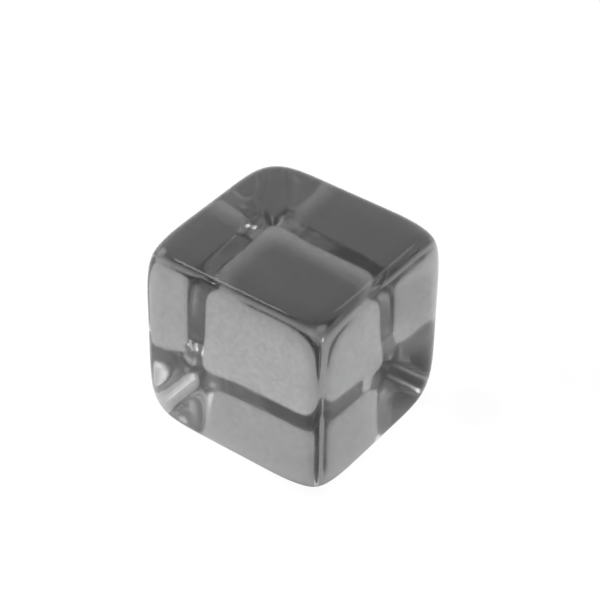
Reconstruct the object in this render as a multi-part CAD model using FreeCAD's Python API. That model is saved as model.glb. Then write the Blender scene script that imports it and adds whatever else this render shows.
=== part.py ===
import FreeCAD, Part
import os
from itertools import product

# A smoke-tinted see-through block: one solid piece, almost a cube, with six flat
# polished faces, softly rounded edges and slightly rounder corners.
#
# It stands on its base. The origin is the middle of the base, +Z is up, and the
# sides are square to X and Y. All lengths are in millimetres.

WIDTH = 16.0  # X, between the two side faces
DEPTH = 15.3  # Y, between the front and back faces
HEIGHT = 15.7  # Z, from the base to the top face

# How softly each face ends, for its high side and its low side along X, Y and Z. An
# edge is rounded by the mean of its two faces, so the block's rounding is a little
# uneven, as the photo shows.
SOFTNESS_HIGH = (1.00, 2.10, 1.45)  # right, back and top faces
SOFTNESS_LOW = (1.95, 1.25, 2.00)  # left, front and base
CORNER_EXTRA = 0.55  # a corner is rounded by the mean of its three faces and this

BLOCK_NODE = "block"

CENTRE = FreeCAD.Vector(0, 0, 0)
AXES = (
    FreeCAD.Vector(1, 0, 0),
    FreeCAD.Vector(0, 1, 0),
    FreeCAD.Vector(0, 0, 1),
)
TOUCHING = 1e-6


def outer_edge(shape, corner, axis):
    """The number of the edge that runs along an axis into the corner, counted from 1."""
    for number, edge in enumerate(shape.Edges, 1):
        ends = [vertex.Point for vertex in edge.Vertexes]
        along = (ends[1] - ends[0]).cross(axis).Length < TOUCHING
        if along and any(end.distanceToPoint(corner) < TOUCHING for end in ends):
            return number
    raise ValueError("the eighth has no such edge")


def rounded_eighth(document, sides):
    """One eighth of the block, from its centre out to one rounded corner.

    It is made on the high side of every axis, and mirrored to where it belongs. The
    rounding changes evenly from the middle of each of the block's edges to the corner.
    """
    softness = [
        SOFTNESS_HIGH[axis] if side > 0 else SOFTNESS_LOW[axis]
        for axis, side in enumerate(sides)
    ]
    corner_radius = sum(softness) / 3 + CORNER_EXTRA
    corner = FreeCAD.Vector(WIDTH / 2, DEPTH / 2, HEIGHT / 2)
    sharp = document.addObject("Part::Feature", "sharp_eighth")
    sharp.Shape = Part.makeBox(corner.x, corner.y, corner.z)
    rounded = document.addObject("Part::Fillet", "rounded_eighth")
    rounded.Base = sharp
    edges = []
    for axis, direction in enumerate(AXES):
        edge_radius = (sum(softness) - softness[axis]) / 2
        number = outer_edge(sharp.Shape, corner, direction)
        edges.append((number, edge_radius, corner_radius))
    rounded.Edges = edges
    document.recompute()
    eighth = rounded.Shape
    for side, direction in zip(sides, AXES):
        if side < 0:
            eighth = eighth.mirror(CENTRE, direction)
    return eighth


def block():
    """The whole block, joined from its eighths and set down on its base."""
    document = FreeCAD.newDocument("block")
    eighths = [rounded_eighth(document, sides) for sides in product((1, -1), repeat=3)]
    shape = eighths[0].fuse(eighths[1:])
    solid = shape.removeSplitter().Solids[0]
    solid.translate(FreeCAD.Vector(0, 0, HEIGHT / 2))
    return solid


os.makedirs("parts", exist_ok=True)
block().exportStep("parts/" + BLOCK_NODE + ".step")
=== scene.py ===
import math

import bpy
import numpy as np
from mathutils import Matrix, Vector


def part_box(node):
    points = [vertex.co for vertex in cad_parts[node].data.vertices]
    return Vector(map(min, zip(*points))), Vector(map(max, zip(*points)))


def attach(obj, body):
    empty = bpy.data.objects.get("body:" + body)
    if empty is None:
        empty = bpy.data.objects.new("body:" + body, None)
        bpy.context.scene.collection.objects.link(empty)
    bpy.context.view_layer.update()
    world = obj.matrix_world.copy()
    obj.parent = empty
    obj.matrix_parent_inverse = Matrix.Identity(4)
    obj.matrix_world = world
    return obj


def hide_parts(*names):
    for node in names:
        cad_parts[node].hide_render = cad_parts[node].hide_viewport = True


# A smoke-tinted see-through block on a white studio table. The panels and dark bands
# that show in it are only refraction: the block is one solid piece with rounded edges.
# Everything is in metres, except that lengths called shares are shares of the block's
# width.

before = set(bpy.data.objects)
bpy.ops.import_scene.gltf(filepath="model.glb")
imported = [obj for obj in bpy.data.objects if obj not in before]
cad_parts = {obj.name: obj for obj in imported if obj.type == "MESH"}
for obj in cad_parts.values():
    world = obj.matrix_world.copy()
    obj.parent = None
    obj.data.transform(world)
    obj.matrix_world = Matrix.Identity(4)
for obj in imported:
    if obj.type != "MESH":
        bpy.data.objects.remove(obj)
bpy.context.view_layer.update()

NODE = "block"
BODY = "root"
CROWN = "crown"  # mesh attribute: how near the crown of an edge a point is

# Shape of the block. A rounding is how far inside a face's plane the sides next to it
# start to curve away.
ROUNDING_HIGH = (0.127, 0.238, 0.164)  # shares: right, back and top faces
ROUNDING_LOW = (0.220, 0.144, 0.222)  # shares: left, front and base
ROUNDING_CORNER = 0.186  # share
# A power of 2 would be a circular rounding, and more gives a tighter crown. The edges
# about the front right top corner start to curve further in, and have tighter crowns.
ROUNDING_POWER = 3.87
CRISP_POWER = 5.5
CRISP_WIDENING = 1.4
CRISP_CORNER = (1, -1, 1)  # the sides of that corner along X, Y and Z
# The change starts this far along the way from the block's centre to that corner, and
# takes this much of the way.
CRISP_START, CRISP_SPAN = 0.1, 0.5
CORNER_CUT = 0.052  # share: how much is taken off where three edges meet
GRID = 96  # mesh cells along each side of the block
GRID_CROWDING = 1.6  # more than 1 crowds the mesh lines towards the edges
CORE_SHARE = 0.43  # mesh lines start this share of the shortest half side inside
BISECTIONS = 50  # halvings that find the surface along each mesh line
PROBE = 1e-6  # share: the step to each side that a normal is measured over
MERGE_DIGITS = 9  # decimals to which two mesh points have to agree to be one

# Acrylic.
INDEX = 1.49  # of refraction
ABSORPTION = 0.92  # per block width
CLEARNESS = (0.81, 1.0)  # how much light the mottled polish lets through
TINTS = (1.0, 0.996, 0.988), (0.988, 0.996, 1.0)  # faintly warm and faintly cool
MOTTLE = (0.35, 0.65)  # noise levels where the mottling and the tint start and end
GLOSS = (0.060, 0.095)  # roughness where the polish is best and where it is dull
DULLING = (0.35, 0.7)  # noise levels where the dull polish starts and is full
CROWN_WEAR = 0.035  # added roughness along the handled edges
EVEN_WEAR = 0.5  # the even part of that wear, to which the grain adds about as much
SCRATCH_HAZE = 0.16  # added roughness in a hairline scratch
SPECK_SHADE = 0.25  # light left through a speck of dust
# Bump heights, in metres, and texture sizes, in features to the metre.
WAVE_HEIGHT, WAVES = 5.0e-6, 260.0  # slight waviness that moulding leaves
GRAIN_HEIGHT, GRAINS = 5.0e-7, 2700.0  # fine polishing grain
SCRATCH_DEPTH = 3.0e-7
SCRATCHES_ALONG, SCRATCHES_ACROSS = 330.0, 9500.0
SCRATCH_TURNS = (0.6, 0.3, 0.5), (-0.9, 0.8, 2.0)  # radians, for the two directions
SCRATCH_LINES = (0.72, 0.79)  # noise levels where a scratch starts and is full
SCRATCH_AREAS = (0.48, 0.62)  # and where the scratched areas do
CLOUDS = 420.0  # areas of better and duller polish
SPECKS, SPECK_RADIUS = 620.0, 0.05  # radius in speck spacings
SPECK_CORE = 0.6  # share of that radius where a speck is full

# Studio.
FLOOR_SIZE = 60.0  # share
FLOOR_GAP = 0.004  # share: air under the block, which keeps its base mirror-like
FLOOR_LIGHT = 1.05
# The table only glows. Under the block its glow drops to SHADE_LIGHT: a painted shade
# that stands in for the block's shadow.
SHADE_LIGHT = 0.20
SHADE_INSET = 0.12  # share: how far inside the block's outline the painted shade starts to fade
SHADE_WIDTH = 0.22  # share: how wide that fade is
SEEN_SHADE = 0.12  # how much of the painted shade shows where the camera looks straight at the table beside the block
SKY_LIGHT = 0.90
SEEN_SKY = 1.0
# Each soft patch of the room: its azimuth and elevation in degrees, the radii in
# degrees where it is full and where it ends, and the light that it adds.
SKY_PATCHES = (
    (128, 12, 5, 20, -0.25),  # low behind the block
    (52, 30, 10, 30, 0.37),  # the bright right-hand side
    (-122, 43, 14, 38, -0.90),  # the dark left-hand side
    (-40, 25, 10, 40, -0.12),  # the side where the camera stands
    (-36, 27, 4, 14, -0.40),
    (175, 58, 8, 25, 0.19),
    (-16, 55, 8, 22, 2.2),  # from here on, lamps
    (34, 33, 3, 9, 1.1),
    (46, 41, 2, 6, 1.2),
    (90, 50, 3, 9, 1.2),
    (-164, 56, 3, 10, 3.2),
    (-128, 65, 2, 7, 0.7),
    (175, 20, 6, 18, 2.2),
    (-20, 9, 3, 7, 9.0),
)
# Each soft patch painted on the table's glow: its middle X and Y and its radii, all in
# shares, and the light that it adds, which is painted shade where it is below 0.
TABLE_PATCHES = (
    (0.68, 0.50, 0.08, 0.30, -0.55),  # a little painted shade at the block's right
    (0.97, 1.00, 0.10, 0.34, -0.45),  # some more painted shade behind its right-hand corner
    (-0.20, -0.90, 0.25, 0.75, 0.48),  # and painted light at its front left
)

# Camera, about the block's centre.
AZIMUTH, ELEVATION, ROLL = 36.24, 39.01, 0.87
DISTANCE = 9.742  # shares
SIDEWAYS, UPWARDS = 0.0301, 0.1007  # shares
LENS_IN_WIDTHS = 3.599833  # focal length, in widths of the picture
SENSOR = 36.0  # millimetres
CLIP_START = 0.001  # metres

# Render. Light crosses the block many times before it leaves.
BOUNCES, GLOSSY_BOUNCES = 32, 16

# A Mix node has sockets for each kind of data: first value, second value and result.
MIX_SOCKETS = {"FLOAT": (2, 3, 0), "RGBA": (6, 7, 2)}

low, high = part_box(NODE)
size = np.array(high - low)
width = float(size[0])
centre = (low + high) / 2


def rounding_start(points):
    """How far inside each nearby face the surface starts to curve away."""
    return width * np.where(points > 0, ROUNDING_HIGH, ROUNDING_LOW)


def outside(points, half):
    """Below 0 inside the block and above 0 outside it, for points about its centre."""
    reach = np.abs(points)
    towards = (points / half) @ np.array(CRISP_CORNER) / 3
    nearness = np.clip((towards - CRISP_START) / CRISP_SPAN, 0, 1)
    blend = nearness**2 * (3 - 2 * nearness)
    start = rounding_start(points) * (1 + (CRISP_WIDENING - 1) * blend)[:, None]
    corner_plane = half.sum() / math.sqrt(3) - CORNER_CUT * width
    past_faces = np.maximum(0, 1 - (half - reach) / start)
    corner_gap = corner_plane - reach.sum(-1) / math.sqrt(3)
    past_corner = np.maximum(0, 1 - corner_gap / (ROUNDING_CORNER * width))
    power = ROUNDING_POWER + (CRISP_POWER - ROUNDING_POWER) * blend
    total = (past_faces ** power[:, None]).sum(-1) + past_corner**power
    return total ** (1 / power) - 1


def box_grid(half):
    """Points and quads of a box's surface, with more grid lines towards its edges."""
    even = np.linspace(-1, 1, GRID + 1)
    lines = np.sign(even) * (1 - (1 - np.abs(even)) ** GRID_CROWDING)
    across, along = np.meshgrid(lines, lines, indexing="ij")
    index = np.arange(across.size).reshape(across.shape)
    points, quads = [], []
    for axis in range(3):
        first, second = [i for i in range(3) if i != axis]
        for sign in (-1, 1):
            side = np.zeros(across.shape + (3,))
            side[..., axis] = sign * half[axis]
            side[..., first] = across * half[first]
            side[..., second] = along * half[second]
            cells = index + len(points) * across.size
            ring = [cells[:-1, :-1], cells[1:, :-1], cells[1:, 1:], cells[:-1, 1:]]
            quad = np.stack(ring, -1).reshape(-1, 4)
            if (sign > 0) == (axis == 1):
                quad = quad[:, ::-1]
            points.append(side.reshape(-1, 3))
            quads.append(quad)
    points, quads = np.concatenate(points), np.concatenate(quads)
    keys = np.round(points / width, MERGE_DIGITS) + 0.0
    _, kept, where = np.unique(keys, axis=0, return_index=True, return_inverse=True)
    return points[kept], where.ravel()[quads]


def rounded(points, half):
    """Moves each point of the box onto the block's rounded surface."""
    core = half - CORE_SHARE * half.min()
    start = np.clip(points, -core, core)
    step = points - start
    near, far = np.zeros(len(points)), np.ones(len(points))
    for _ in range(BISECTIONS):
        middle = (near + far) / 2
        inside = outside(start + step * middle[:, None], half) < 0
        near = np.where(inside, middle, near)
        far = np.where(inside, far, middle)
    return start + step * ((near + far) / 2)[:, None]


def surface_normals(points, half):
    """Unit normals of the block's surface, from the slope of outside()."""
    probe = PROBE * width
    slope = np.zeros_like(points)
    for axis in range(3):
        shift = np.zeros(3)
        shift[axis] = probe
        slope[:, axis] = outside(points + shift, half) - outside(points - shift, half)
    return slope / np.linalg.norm(slope, axis=1)[:, None]


def feed(tree, socket, value):
    """Links an output to a socket, or sets the socket to a number or colour."""
    if isinstance(value, bpy.types.NodeSocket):
        tree.links.new(value, socket)
    else:
        socket.default_value = value


def math_node(tree, operation, *values):
    """The output of a Math node, of some outputs or numbers."""
    node = tree.nodes.new("ShaderNodeMath")
    node.operation = operation
    for socket, value in zip(node.inputs, values):
        feed(tree, socket, value)
    return node.outputs[0]


def mix_node(tree, kind, factor, first, second):
    """The first value where the factor is 0, the second where it is 1."""
    node = tree.nodes.new("ShaderNodeMix")
    node.data_type = kind
    first_socket, second_socket, result = MIX_SOCKETS[kind]
    feed(tree, node.inputs[0], factor)
    feed(tree, node.inputs[first_socket], first)
    feed(tree, node.inputs[second_socket], second)
    return node.outputs[result]


def ramp_node(tree, value, start, end, low_value, high_value):
    """A smooth step of a value, from low_value at start to high_value at end."""
    node = tree.nodes.new("ShaderNodeMapRange")
    node.interpolation_type = "SMOOTHSTEP"
    tree.links.new(value, node.inputs["Value"])
    node.inputs["From Min"].default_value = start
    node.inputs["From Max"].default_value = end
    node.inputs["To Min"].default_value = low_value
    node.inputs["To Max"].default_value = high_value
    return node.outputs["Result"]


def noise_node(tree, place, scale, detail):
    """Soft noise, about 0.5, with so many features to the unit."""
    node = tree.nodes.new("ShaderNodeTexNoise")
    tree.links.new(place, node.inputs["Vector"])
    node.inputs["Scale"].default_value = scale
    node.inputs["Detail"].default_value = detail
    return node.outputs[0]


def hairlines(tree, place):
    """1 in sparse hairline scratches that run two ways, and 0 elsewhere."""
    lines = []
    for turn in SCRATCH_TURNS:
        mapping = tree.nodes.new("ShaderNodeMapping")
        tree.links.new(place, mapping.inputs["Vector"])
        mapping.inputs["Rotation"].default_value = turn
        mapping.inputs["Scale"].default_value = (
            SCRATCHES_ALONG,
            SCRATCHES_ACROSS,
            SCRATCHES_ACROSS,
        )
        streak = noise_node(tree, mapping.outputs["Vector"], 1.0, 0.0)
        lines.append(ramp_node(tree, streak, *SCRATCH_LINES, 0.0, 1.0))
    areas = noise_node(tree, place, SCRATCHES_ALONG, 1.0)
    areas = ramp_node(tree, areas, *SCRATCH_AREAS, 0.0, 1.0)
    return math_node(tree, "MULTIPLY", math_node(tree, "MAXIMUM", *lines), areas)


def dust(tree, place):
    """1 in a few tiny specks, and 0 elsewhere."""
    cells = tree.nodes.new("ShaderNodeTexVoronoi")
    tree.links.new(place, cells.inputs["Vector"])
    cells.inputs["Scale"].default_value = SPECKS
    core = SPECK_CORE * SPECK_RADIUS
    return ramp_node(tree, cells.outputs["Distance"], core, SPECK_RADIUS, 1.0, 0.0)


def smoke_acrylic():
    """Polished grey see-through plastic, with slight waviness, grain, wear and dust."""
    material = bpy.data.materials.new("smoke_acrylic_polished")
    material.use_nodes = True
    tree = material.node_tree
    shader = tree.nodes["Principled BSDF"]
    shader.inputs["Transmission Weight"].default_value = 1
    shader.inputs["IOR"].default_value = INDEX
    place = tree.nodes.new("ShaderNodeTexCoord").outputs["Object"]
    waves = noise_node(tree, place, WAVES, 1.0)
    grain = noise_node(tree, place, GRAINS, 2.0)
    clouds = noise_node(tree, place, CLOUDS, 3.0)
    scratches = hairlines(tree, place)
    specks = dust(tree, place)

    warm, cool = ((*tint, 1) for tint in TINTS)
    coolness = ramp_node(tree, clouds, *MOTTLE, 0.0, 1.0)
    tint = mix_node(tree, "RGBA", coolness, warm, cool)
    clear = ramp_node(tree, grain, *MOTTLE, *CLEARNESS)
    shade = math_node(tree, "MULTIPLY_ADD", specks, SPECK_SHADE - 1, 1.0)
    shown = tree.nodes.new("ShaderNodeVectorMath")
    shown.operation = "SCALE"
    tree.links.new(tint, shown.inputs[0])
    tree.links.new(math_node(tree, "MULTIPLY", clear, shade), shown.inputs["Scale"])
    tree.links.new(shown.outputs[0], shader.inputs["Base Color"])

    crown = tree.nodes.new("ShaderNodeAttribute")
    crown.attribute_name = CROWN
    dull = ramp_node(tree, clouds, *DULLING, *GLOSS)
    uneven = math_node(tree, "ADD", grain, EVEN_WEAR)
    worn = math_node(tree, "MULTIPLY", crown.outputs["Fac"], uneven)
    rough = math_node(tree, "MULTIPLY_ADD", worn, CROWN_WEAR, dull)
    rough = math_node(tree, "MULTIPLY_ADD", scratches, SCRATCH_HAZE, rough)
    tree.links.new(rough, shader.inputs["Roughness"])

    height = math_node(tree, "MULTIPLY", waves, WAVE_HEIGHT)
    height = math_node(tree, "MULTIPLY_ADD", grain, GRAIN_HEIGHT, height)
    height = math_node(tree, "MULTIPLY_ADD", scratches, -SCRATCH_DEPTH, height)
    bump = tree.nodes.new("ShaderNodeBump")
    bump.inputs["Distance"].default_value = 1
    tree.links.new(height, bump.inputs["Height"])
    tree.links.new(bump.outputs["Normal"], shader.inputs["Normal"])

    smoke = tree.nodes.new("ShaderNodeVolumeAbsorption")
    smoke.inputs["Color"].default_value = (0, 0, 0, 1)
    smoke.inputs["Density"].default_value = ABSORPTION / width
    output = tree.nodes["Material Output"]
    tree.links.new(smoke.outputs["Volume"], output.inputs["Volume"])
    return material


def crown_share(points, half):
    """0 on the flats and 1 along the crown of every edge."""
    past_faces = np.maximum(0, 1 - (half - np.abs(points)) / rounding_start(points))
    second = np.sort(past_faces, axis=-1)[:, 1]
    return np.minimum(1, second * 2 ** (1 / ROUNDING_POWER))


def make_block():
    """The block, as a fine mesh with exact normals, in place over its CAD node."""
    half = size / 2
    points, quads = box_grid(half)
    points = rounded(points, half)
    normals = surface_normals(points, half)
    mesh = bpy.data.meshes.new("block_body")
    mesh.from_pydata((points + np.array(centre)).tolist(), [], quads.tolist())
    mesh.polygons.foreach_set("use_smooth", [True] * len(quads))
    mesh.normals_split_custom_set_from_vertices(normals.tolist())
    crown = mesh.attributes.new(CROWN, "FLOAT", "POINT")
    crown.data.foreach_set("value", crown_share(points, half).astype(np.float32))
    mesh.materials.append(smoke_acrylic())
    block = bpy.data.objects.new("block_body", mesh)
    bpy.context.scene.collection.objects.link(block)
    return block


def seen_or(tree, seen, light):
    """One value where the camera looks straight at it, and another for other light."""
    path = tree.nodes.new("ShaderNodeLightPath")
    return mix_node(tree, "FLOAT", path.outputs["Is Camera Ray"], light, seen)


def table_top():
    """Glows even white, with a soft painted shade under the block and soft painted
    patches of shade and light near it.
    """
    material = bpy.data.materials.new("table_glow_painted_shade")
    material.use_nodes = True
    tree = material.node_tree
    shader = tree.nodes["Principled BSDF"]
    shader.inputs["Base Color"].default_value = (0, 0, 0, 1)
    shader.inputs["Roughness"].default_value = 1
    shader.inputs["Specular IOR Level"].default_value = 0
    shader.inputs["Emission Color"].default_value = (1, 1, 1, 1)
    split = tree.nodes.new("ShaderNodeSeparateXYZ")
    place = tree.nodes.new("ShaderNodeNewGeometry").outputs["Position"]
    tree.links.new(place, split.inputs[0])
    # painted shade: the glow falls to SHADE_LIGHT within the block's footprint
    squares = []
    for axis in range(2):
        reach = math_node(tree, "ABSOLUTE", split.outputs[axis])
        inset = float(size[axis]) / 2 - SHADE_INSET * width
        past = math_node(tree, "SUBTRACT", reach, inset)
        past = math_node(tree, "MAXIMUM", past, 0.0)
        squares.append(math_node(tree, "MULTIPLY", past, past))
    gap = math_node(tree, "SQRT", math_node(tree, "ADD", *squares))
    light = ramp_node(tree, gap, 0.0, SHADE_WIDTH * width, SHADE_LIGHT, FLOOR_LIGHT)
    # painted patches of shade and light on the table's glow
    for x, y, full, end, added in TABLE_PATCHES:
        away = tree.nodes.new("ShaderNodeVectorMath")
        away.operation = "DISTANCE"
        tree.links.new(place, away.inputs[0])
        away.inputs[1].default_value = (x * width, y * width, -FLOOR_GAP * width)
        radii = full * width, end * width
        patch = ramp_node(tree, away.outputs["Value"], *radii, added, 0.0)
        light = math_node(tree, "MAXIMUM", math_node(tree, "ADD", light, patch), 0.0)
    even = FLOOR_LIGHT * (1 - SEEN_SHADE)
    faint = math_node(tree, "MULTIPLY_ADD", light, SEEN_SHADE, even)
    tree.links.new(seen_or(tree, faint, light), shader.inputs["Emission Strength"])
    return material


def make_floor():
    """The table, a hair's breadth under the block."""
    half = FLOOR_SIZE * width / 2
    z = -FLOOR_GAP * width
    corners = [(-half, -half, z), (half, -half, z), (half, half, z), (-half, half, z)]
    mesh = bpy.data.meshes.new("studio_floor")
    mesh.from_pydata(corners, [], [(0, 1, 2, 3)])
    mesh.materials.append(table_top())
    floor = bpy.data.objects.new("studio_floor", mesh)
    bpy.context.scene.collection.objects.link(floor)
    return floor


def make_sky():
    """A pale room with soft brighter and darker patches, which the camera sees even."""
    world = bpy.data.worlds.new("studio")
    bpy.context.scene.world = world
    world.use_nodes = True
    tree = world.node_tree
    place = tree.nodes.new("ShaderNodeTexCoord").outputs["Generated"]
    light = SKY_LIGHT
    for azimuth, elevation, full, end, added in SKY_PATCHES:
        around, above = math.radians(azimuth), math.radians(elevation)
        dot = tree.nodes.new("ShaderNodeVectorMath")
        dot.operation = "DOT_PRODUCT"
        tree.links.new(place, dot.inputs[0])
        dot.inputs[1].default_value = (
            math.cos(around) * math.cos(above),
            math.sin(around) * math.cos(above),
            math.sin(above),
        )
        edges = math.cos(math.radians(end)), math.cos(math.radians(full))
        patch = ramp_node(tree, dot.outputs["Value"], *edges, 0.0, added)
        light = math_node(tree, "ADD", light, patch)
    shown = seen_or(tree, SEEN_SKY, math_node(tree, "MAXIMUM", light, 0.0))
    tree.links.new(shown, tree.nodes["Background"].inputs["Color"])


def make_camera():
    """The camera at the photograph's viewing angle."""
    azimuth, elevation, roll = map(math.radians, (AZIMUTH, ELEVATION, ROLL))
    back = Vector(
        (
            math.sin(azimuth) * math.cos(elevation),
            -math.cos(azimuth) * math.cos(elevation),
            math.sin(elevation),
        )
    )
    level = Vector((math.cos(azimuth), math.sin(azimuth), 0))
    upright = back.cross(level)
    right = math.cos(roll) * level + math.sin(roll) * upright
    up = math.cos(roll) * upright - math.sin(roll) * level
    data = bpy.data.cameras.new("camera")
    data.sensor_width = SENSOR
    data.lens = LENS_IN_WIDTHS * SENSOR
    data.clip_start = CLIP_START
    camera = bpy.data.objects.new("camera", data)
    bpy.context.scene.collection.objects.link(camera)
    turn = Matrix((right, up, back)).transposed().to_4x4()
    offset = DISTANCE * back + SIDEWAYS * right + UPWARDS * up
    turn.translation = centre + width * offset
    camera.matrix_world = turn
    bpy.context.scene.camera = camera


block = make_block()
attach(block, BODY)
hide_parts(NODE)
make_floor()
make_sky()
make_camera()

bpy.context.scene.view_settings.view_transform = "Standard"
cycles = bpy.context.scene.cycles
cycles.max_bounces = BOUNCES
cycles.transmission_bounces = BOUNCES
cycles.glossy_bounces = GLOSSY_BOUNCES
cycles.denoising_input_passes = "RGB"
